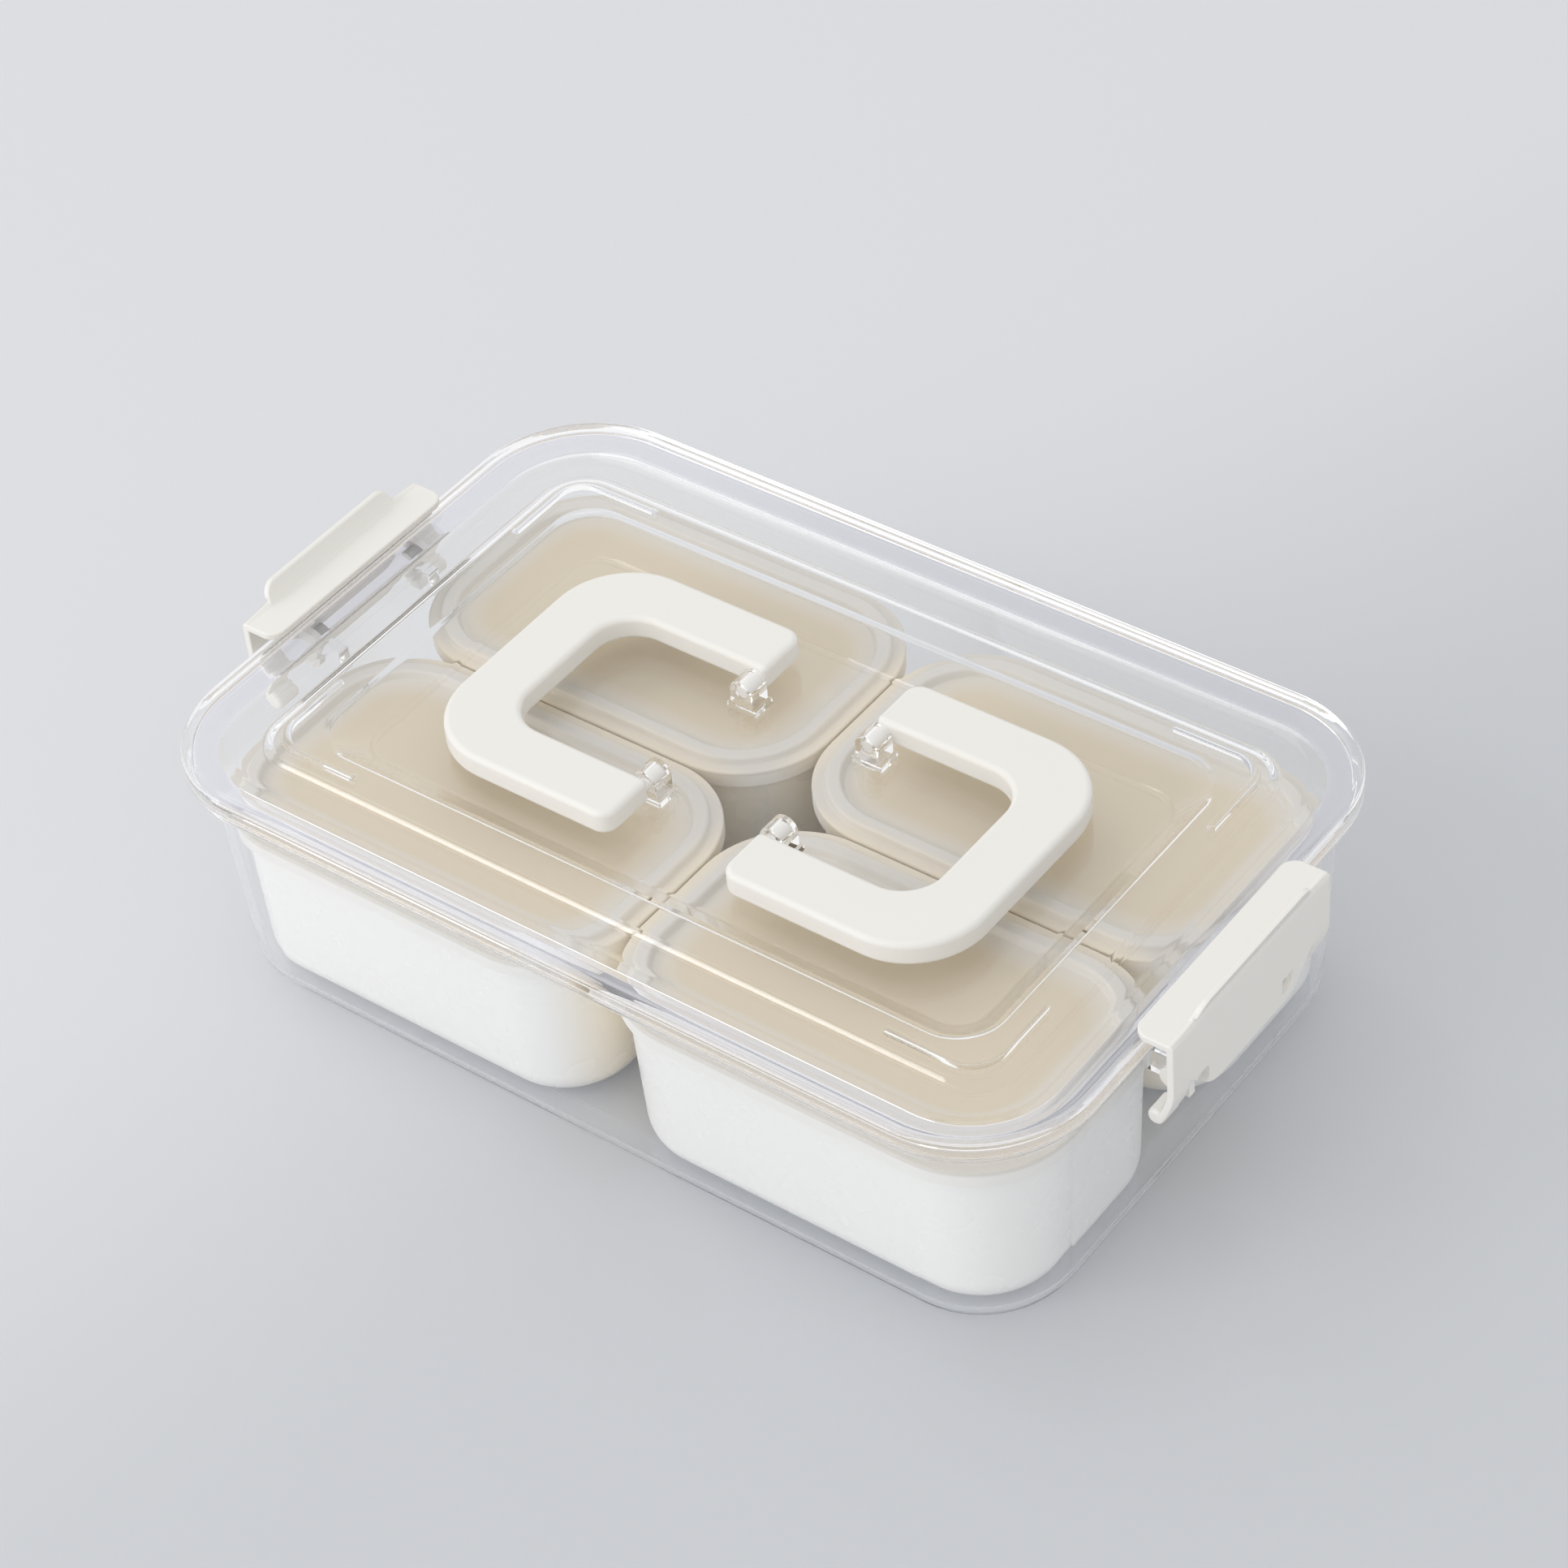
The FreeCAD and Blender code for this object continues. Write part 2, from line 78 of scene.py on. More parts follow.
def bridge(bm, loop, following):
    """Bridges two loops. They are held apart meanwhile, because flat pairs can come out crossed."""
    verts = list({v for edge in following for v in edge.verts})
    bmesh.ops.translate(bm, vec=(0, 0, HELD_APART), verts=verts)
    bmesh.ops.bridge_loops(bm, edges=loop + following)
    bmesh.ops.translate(bm, vec=(0, 0, -HELD_APART), verts=verts)


def skin(bm, loops):
    """Bridges each loop to the next and closes the first and the last."""
    for loop, following in zip(loops, loops[1:]):
        bridge(bm, loop, following)
    bmesh.ops.contextual_create(bm, geom=loops[0])
    bmesh.ops.contextual_create(bm, geom=loops[-1])
    bmesh.ops.recalc_face_normals(bm, faces=bm.faces)


def soften(bm, edges, radius, segments=3):
    """Rounds a run of edges."""
    bmesh.ops.bevel(
        bm, geom=edges, offset=radius, affect="EDGES", segments=segments,
        profile=0.5, material=-1, loop_slide=True,
    )


def piece_from(bm, name):
    """An object from a bmesh, sitting at the origin, still in millimetres."""
    mesh = bpy.data.meshes.new(name)
    bm.to_mesh(mesh)
    bm.free()
    mesh.shade_smooth()
    piece = bpy.data.objects.new(name, mesh)
    bpy.context.scene.collection.objects.link(piece)
    return piece


def combine(piece, others, operation="UNION"):
    """Joins the others to a piece, or cuts them from it, and takes them away."""
    for other in others:
        change = piece.modifiers.new("combine", "BOOLEAN")
        change.object = other
        change.operation = operation
        change.solver = "MANIFOLD"
    graph = bpy.context.evaluated_depsgraph_get()
    mesh = bpy.data.meshes.new_from_object(piece.evaluated_get(graph))
    piece.modifiers.clear()
    piece.data = mesh
    for other in others:
        bpy.data.objects.remove(other)


def dress(piece, material, body, node):
    """Puts a finished piece into metres, with its shading, material, body and CAD node."""
    piece.data.transform(Matrix.Scale(0.001, 4))
    piece.data.shade_smooth()
    piece.data.set_sharp_from_angle(angle=math.radians(38))
    weigh = piece.modifiers.new("flat faces stay flat", "WEIGHTED_NORMAL")
    weigh.weight = 100
    weigh.keep_sharp = True
    piece.data.materials.clear()
    piece.data.materials.append(material)
    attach(piece, body)
    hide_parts(node)


def mirrored(bm, x=False, y=False):
    """Adds the mirror image across the middle plane, facing outwards."""
    for wanted, normal in ((x, (1, 0, 0)), (y, (0, 1, 0))):
        if wanted:
            old = list(bm.verts) + list(bm.edges) + list(bm.faces)
            made = bmesh.ops.duplicate(bm, geom=old)["geom"]
            verts = [v for v in made if isinstance(v, bmesh.types.BMVert)]
            faces = [f for f in made if isinstance(f, bmesh.types.BMFace)]
            flip = tuple(-1 if n else 1 for n in normal)
            bmesh.ops.scale(bm, vec=flip, verts=verts)
            bmesh.ops.reverse_faces(bm, faces=faces)


def moulding_texture():
    """Node group: the slow ripple and faint haze that a moulded plastic surface has."""
    group = bpy.data.node_groups.new("moulding texture", "ShaderNodeTree")
    face = group.interface
    face.new_socket(name="Ripple size", in_out="INPUT", socket_type="NodeSocketFloat")
    face.new_socket(name="Grain size", in_out="INPUT", socket_type="NodeSocketFloat")
    face.new_socket(name="Least roughness", in_out="INPUT", socket_type="NodeSocketFloat")
    face.new_socket(name="Most roughness", in_out="INPUT", socket_type="NodeSocketFloat")
    face.new_socket(name="Roughness", in_out="OUTPUT", socket_type="NodeSocketFloat")
    face.new_socket(name="Height", in_out="OUTPUT", socket_type="NodeSocketFloat")
    nodes, links = group.nodes, group.links
    given = nodes.new("NodeGroupInput")
    put = nodes.new("NodeGroupOutput")
    place = nodes.new("ShaderNodeTexCoord")
    ripple = nodes.new("ShaderNodeTexNoise")
    ripple.inputs["Detail"].default_value = 1.0
    grain = nodes.new("ShaderNodeTexNoise")
    grain.inputs["Detail"].default_value = 2.0
    for noise, size in ((ripple, "Ripple size"), (grain, "Grain size")):
        per_metre = nodes.new("ShaderNodeMath")
        per_metre.operation = "DIVIDE"
        per_metre.inputs[0].default_value = 1.0
        links.new(given.outputs[size], per_metre.inputs[1])
        links.new(per_metre.outputs[0], noise.inputs["Scale"])
        links.new(place.outputs["Object"], noise.inputs["Vector"])
    haze = nodes.new("ShaderNodeMapRange")
    links.new(grain.outputs["Fac"], haze.inputs["Value"])
    haze.inputs["From Min"].default_value = 0.3
    haze.inputs["From Max"].default_value = 0.7
    links.new(given.outputs["Least roughness"], haze.inputs["To Min"])
    links.new(given.outputs["Most roughness"], haze.inputs["To Max"])
    both = nodes.new("ShaderNodeMath")
    both.operation = "MULTIPLY_ADD"
    links.new(grain.outputs["Fac"], both.inputs[0])
    both.inputs[1].default_value = 0.15
    links.new(ripple.outputs["Fac"], both.inputs[2])
    links.new(haze.outputs["Result"], put.inputs["Roughness"])
    links.new(both.outputs[0], put.inputs["Height"])
    return group


MOULDING = moulding_texture()


def moulded(material, ripple, grain, least, most, relief):
    """Adds the moulding texture to a material's Principled node, with its relief in metres."""
    nodes, links = material.node_tree.nodes, material.node_tree.links
    shader = nodes["Principled BSDF"]
    texture = nodes.new("ShaderNodeGroup")
    texture.node_tree = MOULDING
    texture.inputs["Ripple size"].default_value = ripple
    texture.inputs["Grain size"].default_value = grain
    texture.inputs["Least roughness"].default_value = least
    texture.inputs["Most roughness"].default_value = most
    bump = nodes.new("ShaderNodeBump")
    bump.inputs["Strength"].default_value = 1.0
    bump.inputs["Distance"].default_value = relief
    links.new(texture.outputs["Roughness"], shader.inputs["Roughness"])
    links.new(texture.outputs["Height"], bump.inputs["Height"])
    links.new(bump.outputs["Normal"], shader.inputs["Normal"])
    return shader


def clear_plastic(name, tint):
    """Clear plastic that bends what is behind it and lets lamp light through with a slight loss.

    Light caught between its two faces is let out after a few turns, as a real sheet's scratches do.
    """
    material = bpy.data.materials.new(name)
    material.use_nodes = True
    nodes, links = material.node_tree.nodes, material.node_tree.links
    shader = moulded(material, 0.06, 0.02, 0.0, 0.008, 0.000002)
    shader.inputs["Base Color"].default_value = tint
    shader.inputs["Transmission Weight"].default_value = 1.0
    shader.inputs["IOR"].default_value = PLASTIC_IOR
    path = nodes.new("ShaderNodeLightPath")
    through = nodes.new("ShaderNodeBsdfTransparent")
    through.inputs["Color"].default_value = LIGHT_PASSED
    caught = nodes.new("ShaderNodeMath")
    caught.operation = "GREATER_THAN"
    links.new(path.outputs["Ray Depth"], caught.inputs[0])
    caught.inputs[1].default_value = BOUNCES_HELD
    soft_light = nodes.new("ShaderNodeMath")
    soft_light.operation = "MAXIMUM"
    links.new(path.outputs["Is Shadow Ray"], soft_light.inputs[0])
    links.new(path.outputs["Is Diffuse Ray"], soft_light.inputs[1])
    let_out = nodes.new("ShaderNodeMath")
    let_out.operation = "MAXIMUM"
    links.new(soft_light.outputs[0], let_out.inputs[0])
    links.new(caught.outputs[0], let_out.inputs[1])
    mix = nodes.new("ShaderNodeMixShader")
    links.new(let_out.outputs[0], mix.inputs[0])
    links.new(shader.outputs["BSDF"], mix.inputs[1])
    links.new(through.outputs["BSDF"], mix.inputs[2])
    links.new(mix.outputs["Shader"], nodes["Material Output"].inputs["Surface"])
    return material


RIM = (130.9, 85.7, 32.6)
TUB_TOP = (125.5, 80.3, 27.8)
TUB_BASE = (122.0, 76.8, 25.0)
TUB_HEIGHT = box_of("tub")[1][2]
TUB_WALL, TUB_FLOOR = 2.0, 2.2
FLANGE_THICK = 2.3
FOOT_WIDTH = 10
FOOT_HEIGHT = 0.6


def inset(outline, by):
    """A rounded rectangle's sizes, moved in by a distance."""
    return tuple(size - by for size in outline)


def wall_at(z, depth):
    """The drafted wall's outline at a height, this deep into the plastic."""
    share = z / TUB_HEIGHT
    return tuple(low + (high - low) * share - depth for low, high in zip(TUB_BASE, TUB_TOP))


bm = bmesh.new()
foot_inner = rounded_loop(bm, *inset(TUB_BASE, FOOT_WIDTH + FOOT_HEIGHT), FOOT_HEIGHT)
foot_edge = rounded_loop(bm, *inset(TUB_BASE, FOOT_WIDTH), 0)
base = rounded_loop(bm, *TUB_BASE, 0)
neck_z = TUB_HEIGHT - FLANGE_THICK - 0.8
below_flange = rounded_loop(bm, *wall_at(neck_z, 0), neck_z)
flange_root = rounded_loop(bm, *inset(RIM, 4.8), TUB_HEIGHT - FLANGE_THICK)
flange_low = rounded_loop(bm, *inset(RIM, 1.0), TUB_HEIGHT - FLANGE_THICK)
flange_top = rounded_loop(bm, *inset(RIM, 1.0), TUB_HEIGHT)
mouth = rounded_loop(bm, *wall_at(TUB_HEIGHT, TUB_WALL), TUB_HEIGHT)
floor_edge = rounded_loop(bm, *wall_at(TUB_FLOOR, TUB_WALL), TUB_FLOOR)
outside = [foot_inner, foot_edge, base, below_flange, flange_root, flange_low, flange_top]
skin(bm, outside + [mouth, floor_edge])
soften(bm, base, 7, 8)
soften(bm, floor_edge, 5, 8)
soften(bm, foot_edge + foot_inner, 0.25, 2)
soften(bm, below_flange + flange_root, 0.5, 3)
soften(bm, flange_low + flange_top, 0.4, 3)
soften(bm, mouth, 0.5, 3)
tub = piece_from(bm, "tub_shell")

EAR_MIDDLE, EAR_SPREAD, EAR_THICK, EAR_R, EAR_ROOT_X = -3.3, 18, 3.6, 3.5, 123.6
EAR_BORE_R = 1.56
LATCH_X, LATCH_Z = 133, 53.5


def block(bm, low, high):
    """A box between two corners, as its vertices."""
    made = bmesh.ops.create_cube(bm, size=1.0)
    size = [b - a for a, b in zip(low, high)]
    bmesh.ops.scale(bm, vec=size, verts=made["verts"])
    bmesh.ops.translate(bm, vec=[(a + b) / 2 for a, b in zip(low, high)], verts=made["verts"])
    return made["verts"]


def edges_of(verts):
    return list({e for v in verts for e in v.link_edges})


def runs_along(edge, axis):
    """Whether an edge follows one axis (0, 1 or 2)."""
    step = edge.verts[0].co - edge.verts[1].co
    return abs(step[axis]) > 0.99 * step.length


def copied_to_far_end(bm):
    """Adds a copy turned half way round, for the box's other end."""
    old = list(bm.verts) + list(bm.edges) + list(bm.faces)
    made = bmesh.ops.duplicate(bm, geom=old)["geom"]
    verts = [v for v in made if isinstance(v, bmesh.types.BMVert)]
    bmesh.ops.rotate(bm, cent=(0, 0, 0), matrix=Matrix.Rotation(math.pi, 3, "Z"), verts=verts)


bm = bmesh.new()
for side in (-1, 1):
    middle = EAR_MIDDLE + side * EAR_SPREAD
    low = (EAR_ROOT_X, middle - EAR_THICK / 2, LATCH_Z - EAR_R)
    high = (LATCH_X + EAR_R, middle + EAR_THICK / 2, LATCH_Z + EAR_R)
    ear = block(bm, low, high)
    nose = [e for e in edges_of(ear) if runs_along(e, 1) and e.verts[0].co.x > LATCH_X]
    bmesh.ops.bevel(
        bm, geom=nose, offset=EAR_R * NEARLY_ALL, affect="EDGES", segments=12, profile=0.5, material=-1
    )
rims = [e for e in bm.edges if len(e.link_faces) == 2 and e.calc_face_angle() > 1]
rims = [e for e in rims if not runs_along(e, 1)]
soften(bm, rims, 0.35, 2)
copied_to_far_end(bm)
ears = piece_from(bm, "latch_ears")
bm = bmesh.new()
turn = Matrix.Translation((LATCH_X, 0, LATCH_Z)) @ Matrix.Rotation(math.pi / 2, 4, "X")
bmesh.ops.create_cone(
    bm, cap_ends=True, segments=32, radius1=EAR_BORE_R, radius2=EAR_BORE_R, depth=60, matrix=turn
)
copied_to_far_end(bm)
bores = piece_from(bm, "latch_bores")
combine(tub, [ears])
combine(tub, [bores], "DIFFERENCE")
CLEAR = clear_plastic("clear tub plastic", (0.995, 0.998, 1.0, 1))
dress(tub, CLEAR, "tub", "tub")

# ---------------------------------------------------------------------------
# Bowls. Four white polypropylene bowls with a soft gloss. Each is drafted,
# with a wide radius round its base and a snap bead under its rim.
# ---------------------------------------------------------------------------
BOWL_TOP = (58.9, 36.1, 23.6)
BOWL_BASE = (56.3, 34.0, 20.0)
BOWL_WALL = 1.5
COVER = (61.0, 38.2, 25.7)
bowl_low, bowl_high = box_of("bowl_front_right")
BEAD = inset(COVER, 1.1)


def white_plastic(name, colour, warm, least, most):
    """White plastic, slightly warmer in slow patches."""
    material = bpy.data.materials.new(name)
    material.use_nodes = True
    nodes, links = material.node_tree.nodes, material.node_tree.links
    shader = moulded(material, 0.05, 0.012, least, most, 0.0000015)
    shader.inputs["IOR"].default_value = PLASTIC_IOR
    place = nodes.new("ShaderNodeTexCoord")
    patches = nodes.new("ShaderNodeTexNoise")
    patches.inputs["Scale"].default_value = 18
    mix = nodes.new("ShaderNodeMix")
    mix.data_type = "RGBA"
    mix.inputs["A"].default_value = colour
    mix.inputs["B"].default_value = warm
    links.new(place.outputs["Object"], patches.inputs["Vector"])
    links.new(patches.outputs["Fac"], mix.inputs["Factor"])
    links.new(mix.outputs["Result"], shader.inputs["Base Color"])
    return material


def painted_glow_between(material, reach, colour):
    """Paints warm light into a material's colour where it faces the narrow gaps between the bowls, which
    glow from inside: a painted glow, not a tint of the plastic itself.
    """
    nodes, links = material.node_tree.nodes, material.node_tree.links
    shader = nodes["Principled BSDF"]
    plain = shader.inputs["Base Color"].links[0].from_socket
    place = nodes.new("ShaderNodeTexCoord")
    away = nodes.new("ShaderNodeVectorMath")
    away.operation = "ABSOLUTE"
    parts = nodes.new("ShaderNodeSeparateXYZ")
    nearer = nodes.new("ShaderNodeMath")
    nearer.operation = "MINIMUM"
    # Painted glow mask: whole at the middle planes between the bowls, none at the reach.
    painted_glow_mask = nodes.new("ShaderNodeMapRange")
    painted_glow_mask.interpolation_type = "SMOOTHSTEP"
    painted_glow_mask.inputs["From Min"].default_value = 0.0
    painted_glow_mask.inputs["From Max"].default_value = reach
    painted_glow_mask.inputs["To Min"].default_value = 1.0
    painted_glow_mask.inputs["To Max"].default_value = 0.0
    mix = nodes.new("ShaderNodeMix")
    mix.data_type = "RGBA"
    mix.inputs["B"].default_value = colour
    links.new(place.outputs["Object"], away.inputs[0])
    links.new(away.outputs["Vector"], parts.inputs["Vector"])
    links.new(parts.outputs["X"], nearer.inputs[0])
    links.new(parts.outputs["Y"], nearer.inputs[1])
    links.new(nearer.outputs["Value"], painted_glow_mask.inputs["Value"])
    links.new(painted_glow_mask.outputs["Result"], mix.inputs["Factor"])
    links.new(plain, mix.inputs["A"])
    links.new(mix.outputs["Result"], shader.inputs["Base Color"])


def make_bowl(name, middle):
    bm = bmesh.new()
    bottom, top = bowl_low[2], bowl_high[2]
    base = rounded_loop(bm, *BOWL_BASE, bottom)
    under_bead = rounded_loop(bm, *inset(BOWL_TOP, 0.1), top - 3.6)
    bead_low = rounded_loop(bm, *BEAD, top - 2.4)
    bead_high = rounded_loop(bm, *BEAD, top)
    lip = rounded_loop(bm, *inset(BOWL_TOP, BOWL_WALL), top)
    floor = rounded_loop(bm, *inset(BOWL_BASE, BOWL_WALL), bottom + BOWL_WALL)
    skin(bm, [base, under_bead, bead_low, bead_high, lip, floor])
    soften(bm, base, 9, 10)
    soften(bm, floor, 7.5, 10)
    soften(bm, bead_low + bead_high, 0.5, 3)
    soften(bm, lip, 0.4, 3)
    bmesh.ops.translate(bm, vec=middle, verts=bm.verts)
    return piece_from(bm, name)


def middle_of(node):
    """The middle of a node's box, on the ground plane."""
    low, high = box_of(node)
    return Vector(((low[0] + high[0]) / 2, (low[1] + high[1]) / 2, 0))


BOWL_WHITE = white_plastic("bowl white", (0.97, 0.965, 0.94, 1), (0.96, 0.95, 0.915, 1), 0.22, 0.32)
# Painted warm bounce light on the bowls' sides that face the middle gaps.
painted_glow_between(BOWL_WHITE, 0.016, (0.97, 0.87, 0.68, 1))
QUARTERS = [f"{row}_{side}" for row in ("front", "back") for side in ("left", "right")]
for quarter in QUARTERS:
    node = f"bowl_{quarter}"
    bowl = make_bowl(f"{node}_shell", middle_of(node))
    dress(bowl, BOWL_WHITE, node, node)

# ---------------------------------------------------------------------------
# Bowl covers. Thin frosted caps that snap over the bowls: a milky raised ring
# round the edge and a sunk panel painted tan, a painted shade standing for the shut bowl below it.
# ---------------------------------------------------------------------------
cover_low, cover_high = box_of("cover_front_right")
COVER_FLANGE = 53.0
COVER_PANEL = 52.6
COVER_SHEET = 1.2
# In metres, as materials read Object coordinates.
SKIRT_FROM, SKIRT_BELOW = 0.0528, 0.0516


def make_cover(name, middle):
    bm = bmesh.new()
    # The panel layer holds each place's share of the painted tan shade that stands for the shut bowl
    # below.
    warm = bm.verts.layers.float.new("panel")
    # Each step: inset, height and share of the painted tan shade.
    steps = [
        (9.5, COVER_PANEL - COVER_SHEET, 0.35),
        (6.8, COVER_PANEL - COVER_SHEET, 0.15),
        (6.0, cover_high[2] - COVER_SHEET, 0),
        (4.8, cover_high[2] - COVER_SHEET, 0),
        (4.2, COVER_FLANGE - COVER_SHEET, 0.1),
        (1.0, COVER_FLANGE - COVER_SHEET, 0.15),
        (1.0, cover_low[2], 0.15),
        (0.0, cover_low[2], 0.15),
        (0.0, COVER_FLANGE, 0.15),
        (3.0, COVER_FLANGE, 0.1),
        (3.6, cover_high[2], 0),
        (7.2, cover_high[2], 0),
        (8.0, COVER_PANEL, 0.15),
        (9.5, COVER_PANEL, 0.35),
    ]
    loops = [rounded_loop(bm, *inset(COVER, step), z) for step, z, share in steps]
    skin(bm, loops)
    for loop, (step, z, share) in zip(loops, steps):
        for edge in loop:
            for vert in edge.verts:
                vert[warm] = share
    panels = [f for f in bm.faces if len(f.verts) > 4]
    bmesh.ops.inset_region(bm, faces=panels, thickness=6)
    # The sunk panel gets the whole painted shade.
    for vert in {v for f in panels for v in f.verts}:
        vert[warm] = 1.0
    for n, radius in ((8, 0.6), (9, 0.4), (10, 0.6), (11, 0.6), (12, 0.5)):
        soften(bm, loops[n], radius, 4)
    bmesh.ops.translate(bm, vec=middle, verts=bm.verts)
    return piece_from(bm, name)


def frosted_plastic(name):
    """Milky plastic, its colour painted with shade: tan over the open bowl, standing for the warm shade of
    the shut bowl below, less over the bowl's rim, and paler on the skirt.
    """
    material = bpy.data.materials.new(name)
    material.use_nodes = True
    nodes, links = material.node_tree.nodes, material.node_tree.links
    shader = moulded(material, 0.02, 0.003, 0.5, 0.6, 0.000004)
    shader.inputs["IOR"].default_value = PLASTIC_IOR
    # The panel share is how much painted shade of the shut bowl below a place gets. The tan B is that
    # painted shade.
    panel = nodes.new("ShaderNodeAttribute")
    panel.attribute_name = "panel"
    mix = nodes.new("ShaderNodeMix")
    mix.data_type = "RGBA"
    mix.inputs["A"].default_value = (0.69, 0.665, 0.615, 1)
    mix.inputs["B"].default_value = (0.645, 0.54, 0.37, 1)
    links.new(panel.outputs["Fac"], mix.inputs["Factor"])
    place = nodes.new("ShaderNodeTexCoord")
    upward = nodes.new("ShaderNodeSeparateXYZ")
    skirt = nodes.new("ShaderNodeMapRange")
    skirt.inputs["From Min"].default_value = SKIRT_FROM
    skirt.inputs["From Max"].default_value = SKIRT_BELOW
    paler = nodes.new("ShaderNodeMix")
    paler.data_type = "RGBA"
    paler.inputs["B"].default_value = (0.90, 0.885, 0.84, 1)
    links.new(place.outputs["Object"], upward.inputs[0])
    links.new(upward.outputs["Z"], skirt.inputs["Value"])
    links.new(skirt.outputs["Result"], paler.inputs["Factor"])
    links.new(mix.outputs["Result"], paler.inputs["A"])
    links.new(paler.outputs["Result"], shader.inputs["Base Color"])
    return material


FROSTED = frosted_plastic("frosted cover plastic")
# Painted warm glow on the covers beside the middle gaps between the bowls.
painted_glow_between(FROSTED, 0.007, (0.8, 0.72, 0.58, 1))
for quarter in QUARTERS:
    node = f"cover_{quarter}"
    cover = make_cover(f"{node}_cap", middle_of(node))
    dress(cover, FROSTED, node, node)

# ---------------------------------------------------------------------------
# Lid. One clear moulding: a rounded rim over a short skirt, a gutter, a raised
# panel with four corner ribs, and a sunk middle that carries the handle lugs.
# ---------------------------------------------------------------------------
SHEET = 1.8
LIP_Z, BAND_OUT_Z, BAND_IN_Z = 71.0, 70.2, 69.1
GUTTER_Z, PANEL_Z, RECESS_Z = 67.95, 69.5, 62.3
RECESS_TOP = (99.0, 54.3, 11.0)
RECESS_FLOOR = (91.2, 45.5, 8.0)

bm = bmesh.new()


def rim_loop(step, z):
    return rounded_loop(bm, *inset(RIM, step), z)


def cup_loop(z):
    """A loop on the slope below the recess's wall."""
    share = (PANEL_Z - z) / (PANEL_Z - RECESS_Z)
    sizes = [t + SHEET * 2**0.5 + (f - t) * share for t, f in zip(RECESS_TOP, RECESS_FLOOR)]
    return rounded_loop(bm, *sizes, z)


recess_floor = rounded_loop(bm, *RECESS_FLOOR, RECESS_Z)
recess_top = rounded_loop(bm, *RECESS_TOP, PANEL_Z)
panel_edge = rim_loop(21.5, PANEL_Z)
gutter_in = rim_loop(20.0, GUTTER_Z)
gutter_out = rim_loop(13.0, GUTTER_Z)
band_in = rim_loop(9.3, BAND_IN_Z)
band_out = rim_loop(3.8, BAND_OUT_Z)
lip_in = rim_loop(2.4, LIP_Z)
lip_out = rim_loop(0, LIP_Z)
skirt_out = rim_loop(0, TUB_HEIGHT)
skirt_in = rim_loop(2.0, TUB_HEIGHT)
channel_out = rim_loop(2.0, BAND_OUT_Z - SHEET)
channel_in = rim_loop(8.9, BAND_IN_Z - SHEET)
gutter_under_out = rim_loop(12.5, GUTTER_Z - SHEET)
gutter_under_in = rim_loop(20.9, GUTTER_Z - SHEET)
panel_under = rim_loop(22.4, PANEL_Z - SHEET)
cup_top = cup_loop(PANEL_Z - SHEET)
cup_floor = cup_loop(RECESS_Z - SHEET)
skin(
    bm,
    [
        recess_floor, recess_top, panel_edge, gutter_in, gutter_out, band_in, band_out, lip_in, lip_out,
        skirt_out, skirt_in, channel_out, channel_in, gutter_under_out, gutter_under_in, panel_under,
        cup_top, cup_floor,
    ],
)
soften(bm, recess_floor, 0.9, 4)
soften(bm, recess_top, 0.9, 4)
soften(bm, panel_edge, 0.6, 4)
soften(bm, gutter_in, 0.5, 3)
soften(bm, gutter_out, 1.2, 4)
soften(bm, band_in, 1.2, 4)
soften(bm, band_out, 0.6, 3)
soften(bm, lip_in, 0.6, 3)
soften(bm, lip_out, 1.0, 5)
soften(bm, skirt_out + skirt_in, 0.3, 2)
soften(bm, channel_out + channel_in, 0.4, 2)
soften(bm, gutter_under_out + gutter_under_in + panel_under, 0.5, 3)
soften(bm, cup_top + cup_floor, 0.9, 3)
lid = piece_from(bm, "lid_shell")

RIB_X, RIB_Y, RIB_R = 105.5, 60.0, 8.0
RIB_END_X, RIB_END_Y = 79.0, 34.0
RIB_HIGH = 1.3
bm = bmesh.new()
facing = Matrix.Translation((RIB_X, RIB_END_Y, PANEL_Z)) @ Matrix.Rotation(math.pi / 2, 4, "X")
bmesh.ops.create_circle(bm, cap_ends=True, segments=16, radius=RIB_HIGH, matrix=facing)
grown = bmesh.ops.extrude_face_region(bm, geom=list(bm.faces))
end = [v for v in grown["geom"] if isinstance(v, bmesh.types.BMVert)]
bmesh.ops.translate(bm, vec=(0, RIB_Y - RIB_R - RIB_END_Y, 0), verts=end)
end_face = [f for f in grown["geom"] if isinstance(f, bmesh.types.BMFace)]
turning_point = (RIB_X - RIB_R, RIB_Y - RIB_R, PANEL_Z)
swept = bmesh.ops.spin(
    bm, geom=end_face, cent=turning_point, axis=(0, 0, 1), angle=math.pi / 2, steps=12
)
end_face = [f for f in swept["geom_last"] if isinstance(f, bmesh.types.BMFace)]
grown = bmesh.ops.extrude_face_region(bm, geom=end_face)
end = [v for v in grown["geom"] if isinstance(v, bmesh.types.BMVert)]
bmesh.ops.translate(bm, vec=(RIB_END_X - RIB_X + RIB_R, 0, 0), verts=end)
bmesh.ops.remove_doubles(bm, verts=bm.verts, dist=0.001)
inside = [f for f in bm.faces if len(f.verts) > 4 and all(len(e.link_faces) > 2 for e in f.edges)]
bmesh.ops.delete(bm, geom=inside, context="FACES_ONLY")
bmesh.ops.recalc_face_normals(bm, faces=bm.faces)
caps = [e for f in bm.faces if len(f.verts) > 4 for e in f.edges]
soften(bm, caps, 0.9, 4)
bmesh.ops.translate(bm, vec=(0, 0, -0.001), verts=bm.verts)
mirrored(bm, x=True, y=True)
ribs = piece_from(bm, "ribs")

PIVOT_X, PIVOT_Z = 19.0, 67.95
LUG_DOME = 3.55
LUG_FROM, LUG_TO = 16.0, 22.5
LUG_SOCKET_MIDDLE, LUG_SOCKET_DEPTH, LUG_SOCKET_R = 20.2, 6.4, 1.86
LUG_FOOT_X, LUG_FOOT_HEIGHT, LUG_FOOT_LEDGE = 4.6, 1.7, 0.4
LUG_SUNK = 0.5

